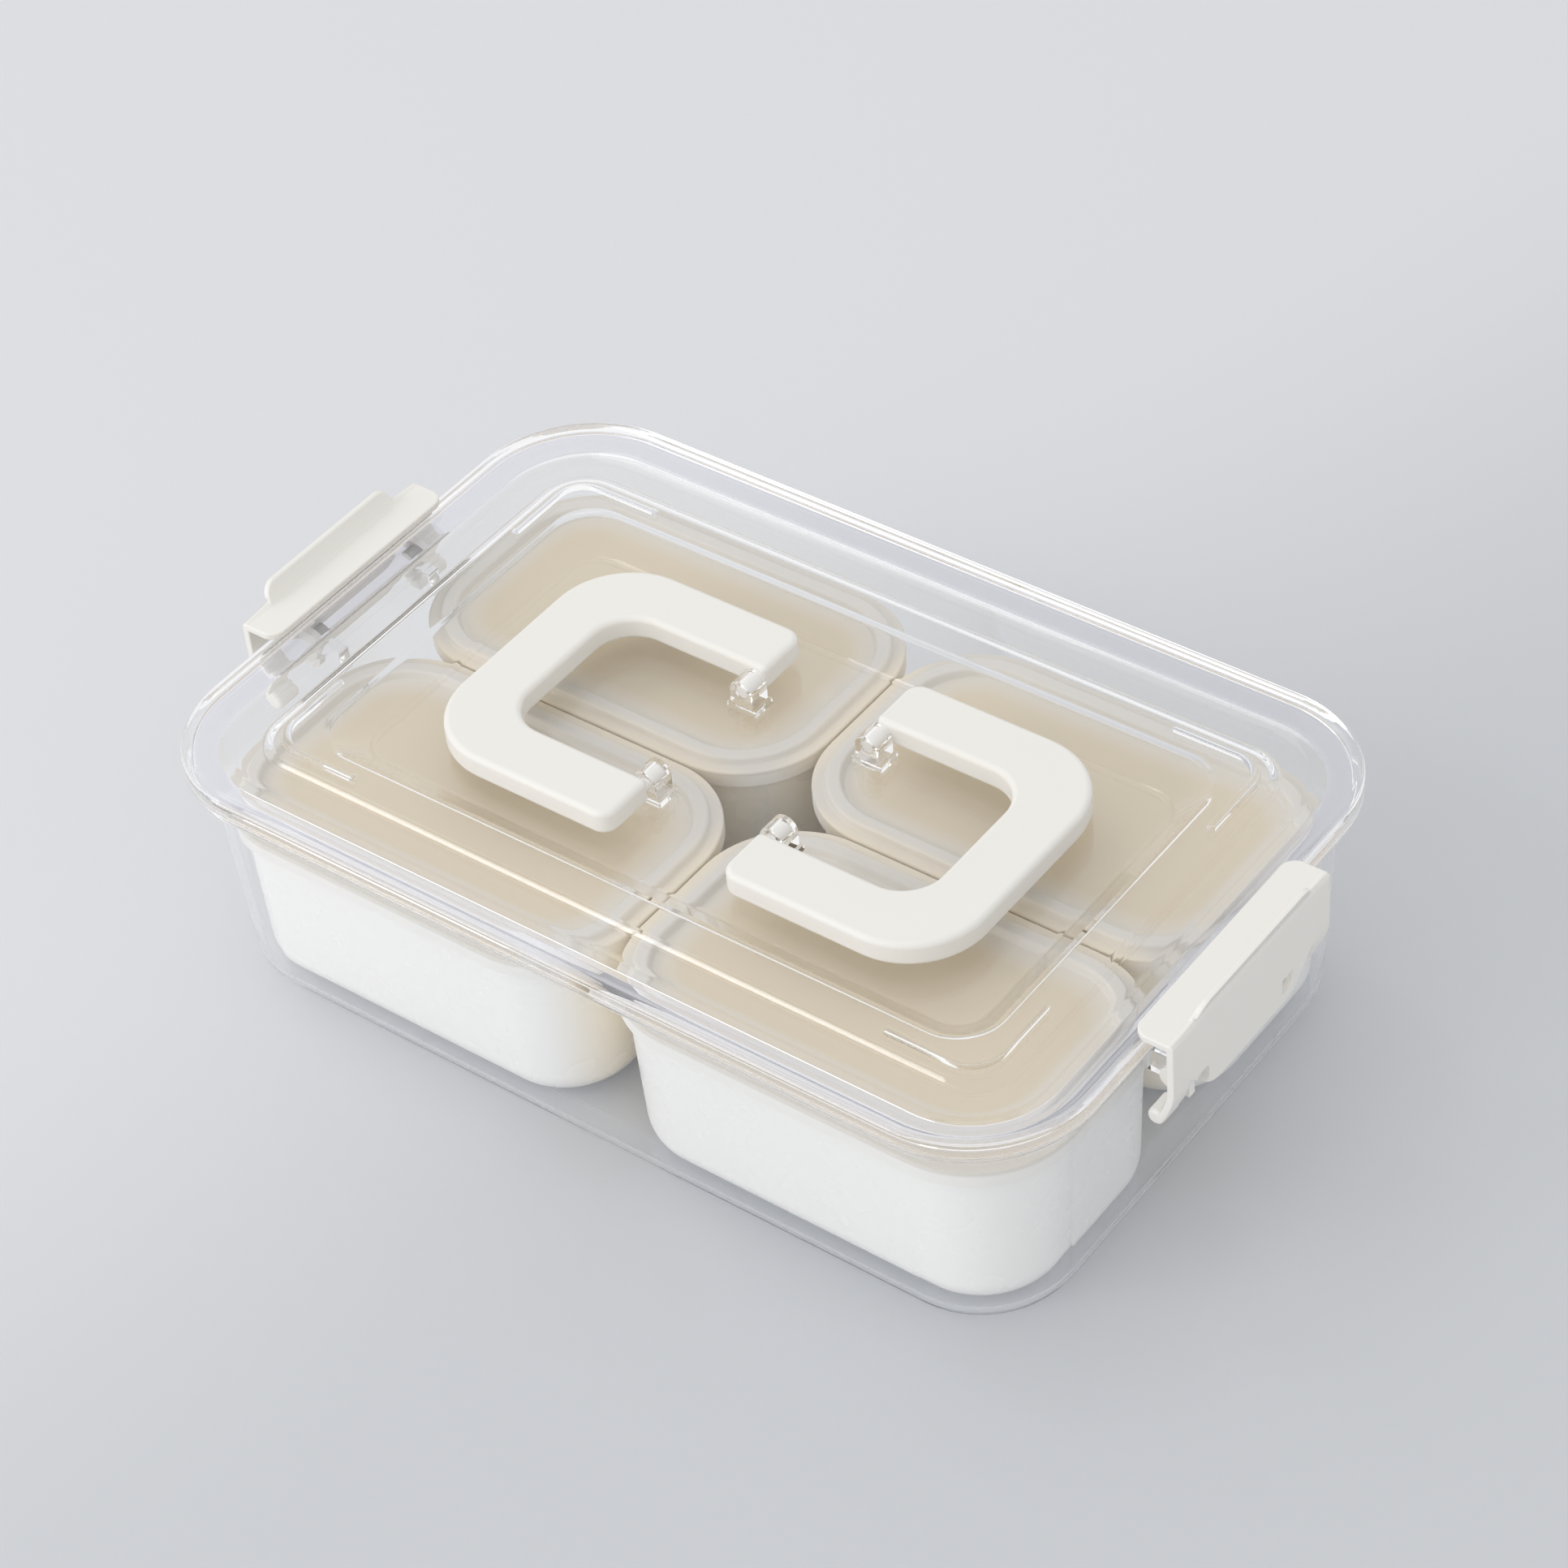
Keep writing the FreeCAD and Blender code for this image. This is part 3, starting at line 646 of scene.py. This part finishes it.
bm = bmesh.new()
low = (PIVOT_X - LUG_DOME, LUG_FROM, RECESS_Z - LUG_SUNK)
body = block(bm, low, (PIVOT_X + LUG_DOME, LUG_TO, PIVOT_Z + LUG_DOME))
crown = [e for e in edges_of(body) if all(v.co.z > PIVOT_Z for v in e.verts)]
crown = [e for e in crown if abs(e.verts[0].co.x - e.verts[1].co.x) < 0.001]
bmesh.ops.bevel(
    bm, geom=crown, offset=LUG_DOME * NEARLY_ALL, affect="EDGES", segments=12, profile=0.5, material=-1
)
ends = [e for e in bm.edges if abs(e.verts[0].co.y - e.verts[1].co.y) < 0.001]
ends = [e for e in ends if max(v.co.z for v in e.verts) > RECESS_Z]
bmesh.ops.bevel(bm, geom=ends, offset=0.5, affect="EDGES", segments=3, profile=0.5, material=-1)
mirrored(bm, x=True, y=True)
lugs = piece_from(bm, "lugs")
bm = bmesh.new()
low = (PIVOT_X - LUG_FOOT_X, LUG_FROM - LUG_FOOT_LEDGE, RECESS_Z - 0.4)
high = (PIVOT_X + LUG_FOOT_X, LUG_TO + LUG_FOOT_LEDGE, RECESS_Z + LUG_FOOT_HEIGHT)
foot = block(bm, low, high)
soften(bm, edges_of(foot), 0.45, 3)
mirrored(bm, x=True, y=True)
feet = piece_from(bm, "lug_feet")
bm = bmesh.new()
turn = Matrix.Translation((PIVOT_X, LUG_SOCKET_MIDDLE, PIVOT_Z)) @ Matrix.Rotation(math.pi / 2, 4, "X")
bmesh.ops.create_cone(
    bm, cap_ends=True, segments=32, radius1=LUG_SOCKET_R, radius2=LUG_SOCKET_R,
    depth=LUG_SOCKET_DEPTH, matrix=turn,
)
mirrored(bm, x=True, y=True)
sockets = piece_from(bm, "lug_sockets")
combine(lugs, [feet])
combine(lugs, [sockets], "DIFFERENCE")
combine(lid, [lugs, ribs])
LID_CLEAR = clear_plastic("clear lid plastic", (0.998, 0.998, 1.0, 1))
dress(lid, LID_CLEAR, "lid", "lid")

# ---------------------------------------------------------------------------
# Lid seal. A soft translucent ring pushed up into the channel behind the
# lid's skirt. It closes the gap over the tub's rim.
# ---------------------------------------------------------------------------
seal_low = box_of("lid_seal")[0]
SEAL_OUT, SEAL_IN, SEAL_PLAY = 2.05, 8.85, 0.03
bm = bmesh.new()
seal_loops = [
    rounded_loop(bm, *inset(RIM, SEAL_OUT), seal_low[2]),
    rounded_loop(bm, *inset(RIM, SEAL_OUT), BAND_OUT_Z - SHEET - SEAL_PLAY),
    rounded_loop(bm, *inset(RIM, SEAL_IN), BAND_IN_Z - SHEET - SEAL_PLAY),
    rounded_loop(bm, *inset(RIM, SEAL_IN), seal_low[2]),
]
for loop, following in zip(seal_loops, seal_loops[1:] + seal_loops[:1]):
    bridge(bm, loop, following)
bmesh.ops.recalc_face_normals(bm, faces=bm.faces)
for loop in seal_loops:
    soften(bm, loop, 0.25, 2)
seal = piece_from(bm, "seal_ring")
SILICONE = clear_plastic("clear silicone", (0.95, 0.95, 0.985, 1))
dress(seal, SILICONE, "lid", "lid_seal")

# ---------------------------------------------------------------------------
# Handles. Two white U handles that fold flat into the lid's sunk middle. Each
# is one moulding with two stub pins that spring into the lid's lugs.
# ---------------------------------------------------------------------------
handle_low, handle_high = box_of("handle_right")
ARM_INNER = 23.5
GRIP_INNER = 61.9
OUTER_R, INNER_R, END_R = 21.0, 11.0, 4.5
PIN_R, PIN_TIP, PIN_ROOT = 1.8, 17.2, ARM_INNER + 2

bm = bmesh.new()
grip_outer = rounded_loop(bm, handle_high[0], handle_high[1], OUTER_R, handle_low[2])
grip_inner = rounded_loop(bm, GRIP_INNER, ARM_INNER, INNER_R, handle_low[2])
bridge(bm, grip_outer, grip_inner)
everything = list(bm.verts) + list(bm.edges) + list(bm.faces)
bmesh.ops.bisect_plane(
    bm, geom=everything, plane_co=(handle_low[0], 0, 0), plane_no=(1, 0, 0), clear_inner=True
)
grown = bmesh.ops.extrude_face_region(bm, geom=list(bm.faces))
top = [v for v in grown["geom"] if isinstance(v, bmesh.types.BMVert)]
bmesh.ops.translate(bm, vec=(0, 0, handle_high[2] - handle_low[2]), verts=top)
bmesh.ops.recalc_face_normals(bm, faces=bm.faces)


def arm_end_edges(outer):
    """The upright edges at the arms' outer or inner end corners."""
    edges = [e for e in bm.edges if all(v.co.x < handle_low[0] + 0.01 for v in e.verts)]
    edges = [e for e in edges if abs(e.verts[0].co.z - e.verts[1].co.z) > 1]
    return [e for e in edges if (abs(e.verts[0].co.y) > (ARM_INNER + handle_high[1]) / 2) == outer]


soften(bm, arm_end_edges(True), END_R, 12)
soften(bm, arm_end_edges(False), 1.6, 6)
level_edges = [e for e in bm.edges if abs(e.verts[0].co.z - e.verts[1].co.z) < 0.001]
level_edges = [e for e in level_edges if len({round(f.normal.z) for f in e.link_faces}) > 1]
soften(bm, level_edges, 1.6, 8)
handle_right = piece_from(bm, "handle_right_frame")
bm = bmesh.new()
pin_middle = Matrix.Translation((PIVOT_X, (PIN_TIP + PIN_ROOT) / 2, PIVOT_Z))
turn = pin_middle @ Matrix.Rotation(math.pi / 2, 4, "X")
pin = bmesh.ops.create_cone(
    bm, cap_ends=True, segments=32, radius1=PIN_R, radius2=PIN_R, depth=PIN_ROOT - PIN_TIP, matrix=turn
)
tip = [e for e in edges_of(pin["verts"]) if max(v.co.y for v in e.verts) < PIN_TIP + 0.001]
soften(bm, tip, 0.3, 2)
mirrored(bm, y=True)
combine(handle_right, [piece_from(bm, "handle_pins")])
mesh = handle_right.data.copy()
mesh.transform(Matrix.Rotation(math.pi, 4, "Z"))
handle_left = bpy.data.objects.new("handle_left_frame", mesh)
bpy.context.scene.collection.objects.link(handle_left)
HANDLE_WHITE = white_plastic("handle white", (0.865, 0.85, 0.81, 1), (0.86, 0.84, 0.795, 1), 0.38, 0.5)
dress(handle_right, HANDLE_WHITE, "handle_right", "handle_right")
dress(handle_left, HANDLE_WHITE, "handle_left", "handle_left")

# ---------------------------------------------------------------------------
# Latches. White end clips that turn on moulded pins in the tub's lugs. The hook
# presses the lid's rim down, and the tab above it is what a finger pulls.
# ---------------------------------------------------------------------------
latch_low, latch_high = box_of("latch_right")
LATCH_FACE, LATCH_SHEET, LATCH_HALF = 138.8, 2.0, latch_high[1]
HOOK_TOP = 73.2
TAB_HALF, TAB_THICK = 24.0, 1.6
PLATE_LOW, PLATE_LOW_HALF, PLATE_SIDE_LOW = 48.0, 17.0, 64.0
PLATE_LOW_ROUND, PLATE_SIDE_ROUND = 3.2, 2.1
LEG_WIDTH, LEG_TOP, LEG_BEND, LEG_CURL = 7.6, 66.0, 57.6, 4.2
LEG_SUNK = 0.05
TOE_X, TOE_R = 133.5, 2.2


def upright_grid(bm, columns, heights, x):
    """A flat sheet across the latch, with a vertex at each of these distances and heights."""
    wide, tall = len(columns) - 1, len(heights) - 1
    made = bmesh.ops.create_grid(bm, x_segments=wide, y_segments=tall, size=1.0)
    for vert in made["verts"]:
        column, row = round((vert.co.x + 1) / 2 * wide), round((vert.co.y + 1) / 2 * tall)
        vert.co = (x, columns[column], heights[row])


def pulled(bm, faces, by):
    """Extrudes some faces by a distance and returns the new ones."""
    grown = bmesh.ops.extrude_face_region(bm, geom=faces)["geom"]
    bmesh.ops.translate(bm, vec=by, verts=[v for v in grown if isinstance(v, bmesh.types.BMVert)])
    bmesh.ops.delete(bm, geom=faces, context="FACES_ONLY")
    bmesh.ops.recalc_face_normals(bm, faces=bm.faces)
    return [f for f in grown if isinstance(f, bmesh.types.BMFace)]


def thickened(bm, by):
    """Gives a flat sheet its thickness along X."""
    grown = bmesh.ops.extrude_face_region(bm, geom=list(bm.faces))["geom"]
    bmesh.ops.translate(bm, vec=(-by, 0, 0), verts=[v for v in grown if isinstance(v, bmesh.types.BMVert)])
    bmesh.ops.recalc_face_normals(bm, faces=bm.faces)


def corners_at(bm, x=None, y=None, z=None):
    """Edges whose two ends both lie at the given x, distance across and height."""
    def lies(co):
        pairs = ((co.x, x), (abs(co.y), y), (co.z, z))
        return all(wanted is None or abs(value - wanted) < 0.01 for value, wanted in pairs)

    return [e for e in bm.edges if all(lies(v.co) for v in e.verts)]


def keen_edges(bm):
    return [e for e in bm.edges if len(e.link_faces) == 2 and e.calc_face_angle() > math.radians(50)]


bm = bmesh.new()
columns = [-LATCH_HALF, -TAB_HALF, TAB_HALF, LATCH_HALF]
upright_grid(bm, columns, [PLATE_LOW, HOOK_TOP - LATCH_SHEET, HOOK_TOP], LATCH_FACE)
rise, run = PLATE_SIDE_LOW - PLATE_LOW, LATCH_HALF - PLATE_LOW_HALF
for side in (-1, 1):
    everything = list(bm.verts) + list(bm.edges) + list(bm.faces)
    low_corner = (LATCH_FACE, side * PLATE_LOW_HALF, PLATE_LOW)
    bmesh.ops.bisect_plane(
        bm, geom=everything, plane_co=low_corner, plane_no=(0, side * rise, -run), clear_outer=True
    )
corners = [v for v in bm.verts if abs(abs(v.co.y) - PLATE_LOW_HALF) < 0.01 and v.co.z < PLATE_LOW + 0.01]
bmesh.ops.bevel(
    bm, geom=corners, offset=PLATE_LOW_ROUND, affect="VERTICES", segments=8, profile=0.5, material=-1
)
corners = [v for v in bm.verts if abs(v.co.z - PLATE_SIDE_LOW) < 0.01]
corners = [v for v in corners if abs(abs(v.co.y) - LATCH_HALF) < 0.01]
bmesh.ops.bevel(
    bm, geom=corners, offset=PLATE_SIDE_ROUND, affect="VERTICES", segments=6, profile=0.5, material=-1
)
thickened(bm, LATCH_SHEET)
back = [f for f in bm.faces if f.normal.x < -0.9 and f.calc_center_median().z > HOOK_TOP - LATCH_SHEET]
pulled(bm, back, (latch_low[0] - LATCH_FACE + LATCH_SHEET, 0, 0))
crown = [f for f in bm.faces if f.normal.z > 0.9 and abs(f.calc_center_median().y) < TAB_HALF]
crown = [f for f in crown if f.calc_center_median().x > LATCH_FACE - LATCH_SHEET]
tip = pulled(bm, crown, (latch_high[0] - LATCH_FACE, 0, latch_high[2] - HOOK_TOP))
for vert in {v for f in tip for v in f.verts if v.co.x < latch_high[0] - 0.1}:
    vert.co.x = latch_high[0] - TAB_THICK
tab_corners = [e for e in corners_at(bm, y=TAB_HALF, z=latch_high[2]) if runs_along(e, 0)]
soften(bm, tab_corners, 4, 8)
soften(bm, corners_at(bm, x=latch_low[0], y=LATCH_HALF), 4, 10)
soften(bm, corners_at(bm, x=LATCH_FACE, z=HOOK_TOP), 1.2, 6)
soften(bm, keen_edges(bm), 0.45, 4)
latch_right = piece_from(bm, "latch_right_clip")

bm = bmesh.new()
curl = [LEG_BEND - (LEG_BEND - latch_low[2]) * n / 8 for n in range(8, 0, -1)]
columns = [LATCH_HALF - LEG_WIDTH, LATCH_HALF - LEG_SUNK]
upright_grid(bm, columns, curl + [LEG_BEND, LEG_TOP], LATCH_FACE - LEG_SUNK)
for vert in bm.verts:
    drop = max(LEG_BEND - vert.co.z, 0) / (LEG_BEND - latch_low[2])
    vert.co.x -= LEG_CURL * drop**1.6
thickened(bm, LATCH_SHEET - 2 * LEG_SUNK)
foot_corners = [e for e in corners_at(bm, z=latch_low[2]) if runs_along(e, 0)]
soften(bm, foot_corners, 1.2, 6)
soften(bm, keen_edges(bm), 0.4, 3)
mirrored(bm, y=True)
legs = piece_from(bm, "latch_legs")

bm = bmesh.new()
toe_middle = Vector((TOE_X, LATCH_HALF - LEG_WIDTH / 2, latch_low[2] + TOE_R))
turn = Matrix.Translation(toe_middle) @ Matrix.Rotation(math.pi / 2, 4, "X")
bmesh.ops.create_cone(
    bm, cap_ends=True, segments=48, radius1=TOE_R, radius2=TOE_R, depth=LEG_WIDTH, matrix=turn
)
soften(bm, keen_edges(bm), 1.1, 5)
mirrored(bm, y=True)
toes = piece_from(bm, "latch_toes")

WINDOW_WIDTH, WINDOW_HEIGHT = 4.8, 5.0
bm = bmesh.new()
for side in (-1, 1):
    middle = EAR_MIDDLE + side * EAR_SPREAD
    low = (LATCH_FACE - 4, middle - WINDOW_WIDTH / 2, LATCH_Z - WINDOW_HEIGHT / 2)
    high = (LATCH_FACE + 4, middle + WINDOW_WIDTH / 2, LATCH_Z + WINDOW_HEIGHT / 2)
    window = block(bm, low, high)
    soften(bm, [e for e in edges_of(window) if runs_along(e, 0)], 1, 4)
windows = piece_from(bm, "latch_windows")

CHEEK_R, CHEEK_THICK, CHEEK_GAP = 3.2, 2.2, 0.3
LATCH_PIN_R = 1.5
cheek_bm, pin_bm = bmesh.new(), bmesh.new()
for side in (-1, 1):
    middle = EAR_MIDDLE + side * EAR_SPREAD
    near = middle + side * (EAR_THICK / 2 + CHEEK_GAP)
    y0, y1 = sorted((near, near + side * CHEEK_THICK))
    low, high = (LATCH_X - CHEEK_R, y0, LATCH_Z - CHEEK_R), (LATCH_FACE - 1, y1, LATCH_Z + CHEEK_R)
    cheek = block(cheek_bm, low, high)
    nose = [e for e in edges_of(cheek) if runs_along(e, 1) and e.verts[0].co.x < LATCH_X]
    soften(cheek_bm, nose, CHEEK_R * NEARLY_ALL, 12)
    pin_tip, pin_root = middle - side * (EAR_THICK / 2 - 0.2), near + side
    middle = Matrix.Translation((LATCH_X, (pin_tip + pin_root) / 2, LATCH_Z))
    turn = middle @ Matrix.Rotation(math.pi / 2, 4, "X")
    length = abs(pin_tip - pin_root)
    bmesh.ops.create_cone(
        pin_bm, cap_ends=True, segments=32, radius1=LATCH_PIN_R, radius2=LATCH_PIN_R,
        depth=length, matrix=turn,
    )
cheeks = piece_from(cheek_bm, "latch_cheeks")
latch_pins = piece_from(pin_bm, "latch_pins")
combine(latch_right, [legs, toes])
combine(latch_right, [windows], "DIFFERENCE")
combine(latch_right, [cheeks, latch_pins])
mesh = latch_right.data.copy()
mesh.transform(Matrix.Rotation(math.pi, 4, "Z"))
latch_left = bpy.data.objects.new("latch_left_clip", mesh)
bpy.context.scene.collection.objects.link(latch_left)
dress(latch_right, HANDLE_WHITE, "latch_right", "latch_right")
dress(latch_left, HANDLE_WHITE, "latch_left", "latch_left")

# ---------------------------------------------------------------------------
# Table top and light. A pale seamless table top, painted lighter to the left (-X) and
# darker to the right as painted light falloff, a wide soft lamp from the front left and an even pale
# surround.
# ---------------------------------------------------------------------------
TABLE_SIZE = 4.0
# Painted light falloff over the table: its way, and where it starts and ends, in metres.
PAINTED_FALLOFF_WAY, PAINTED_FALLOFF_FROM, PAINTED_FALLOFF_TO = (-0.958, 0.285, 0), -0.075, 0.145

bm = bmesh.new()
bmesh.ops.create_grid(bm, x_segments=1, y_segments=1, size=TABLE_SIZE)
table = piece_from(bm, "table_top")
TABLE = bpy.data.materials.new("pale table")
TABLE.use_nodes = True
nodes, links = TABLE.node_tree.nodes, TABLE.node_tree.links
shader = nodes["Principled BSDF"]
shader.inputs["Roughness"].default_value = 0.55
place = nodes.new("ShaderNodeTexCoord")
along = nodes.new("ShaderNodeVectorMath")
along.operation = "DOT_PRODUCT"
along.inputs[1].default_value = PAINTED_FALLOFF_WAY
painted_falloff_mask = nodes.new("ShaderNodeMapRange")
painted_falloff_mask.interpolation_type = "SMOOTHSTEP"
painted_falloff_mask.inputs["From Min"].default_value = PAINTED_FALLOFF_FROM
painted_falloff_mask.inputs["From Max"].default_value = PAINTED_FALLOFF_TO
# A is the painted shade at the right end, B the painted light at the left end.
painted_falloff_colour = nodes.new("ShaderNodeMix")
painted_falloff_colour.data_type = "RGBA"
painted_falloff_colour.inputs["A"].default_value = (0.60, 0.617, 0.645, 1)
painted_falloff_colour.inputs["B"].default_value = (0.72, 0.73, 0.755, 1)
links.new(place.outputs["Object"], along.inputs[0])
links.new(along.outputs["Value"], painted_falloff_mask.inputs["Value"])
links.new(painted_falloff_mask.outputs["Result"], painted_falloff_colour.inputs["Factor"])
links.new(painted_falloff_colour.outputs["Result"], shader.inputs["Base Color"])
table.data.materials.append(TABLE)

world = bpy.data.worlds.new("studio")
bpy.context.scene.world = world
world.use_nodes = True
nodes, links = world.node_tree.nodes, world.node_tree.links
surround = nodes["Background"]
surround.inputs["Color"].default_value = (1.0, 1.0, 1.0, 1)
path = nodes.new("ShaderNodeLightPath")
either = nodes.new("ShaderNodeMath")
either.operation = "MAXIMUM"
any_seen = nodes.new("ShaderNodeMath")
any_seen.operation = "MAXIMUM"
strength = nodes.new("ShaderNodeMapRange")
strength.inputs["To Min"].default_value = 0.86
strength.inputs["To Max"].default_value = 0.95
links.new(path.outputs["Is Camera Ray"], either.inputs[0])
links.new(path.outputs["Is Glossy Ray"], either.inputs[1])
links.new(either.outputs[0], any_seen.inputs[0])
links.new(path.outputs["Is Transmission Ray"], any_seen.inputs[1])
links.new(any_seen.outputs[0], strength.inputs["Value"])
links.new(strength.outputs["Result"], surround.inputs["Strength"])


def soft_lamp(name, place, target, size, power):
    data = bpy.data.lights.new(name, "AREA")
    data.shape = "RECTANGLE"
    data.size, data.size_y = size
    data.energy = power
    lamp = bpy.data.objects.new(name, data)
    lamp.location = place
    lamp.rotation_euler = (Vector(target) - Vector(place)).to_track_quat("-Z", "Y").to_euler()
    bpy.context.scene.collection.objects.link(lamp)


soft_lamp("front_left_softbox", (-1.1, -2.3, 0.75), (0, 0, 0.03), (2.6, 1.8), 18.5)
soft_lamp("front_left_strip", (-0.75, -1.1, 0.9), (0, 0, 0.05), (0.5, 0.25), 1.5)
soft_lamp("left_overhead_strip", (-0.75, 0.2, 1.3), (0, 0, 0.05), (0.3, 0.6), 0.7)

data = bpy.data.cameras.new("camera")
camera = bpy.data.objects.new("camera", data)
bpy.context.scene.collection.objects.link(camera)
data.lens = 100.25
data.sensor_width = 36
data.clip_start = 0.01
stand = Vector((0.51127, -0.59770, 0.77063))
right = Vector((0.8018321, 0.5932327, -0.0716951))
down = Vector((0.3573886, -0.5722607, -0.7380996))
ahead = Vector((-0.4788931, 0.566209, -0.6708716))
turn = Matrix((right, -down, -ahead)).transposed().to_4x4()
camera.matrix_world = Matrix.Translation(stand) @ turn
bpy.context.scene.camera = camera
bpy.context.scene.view_settings.view_transform = "Standard"
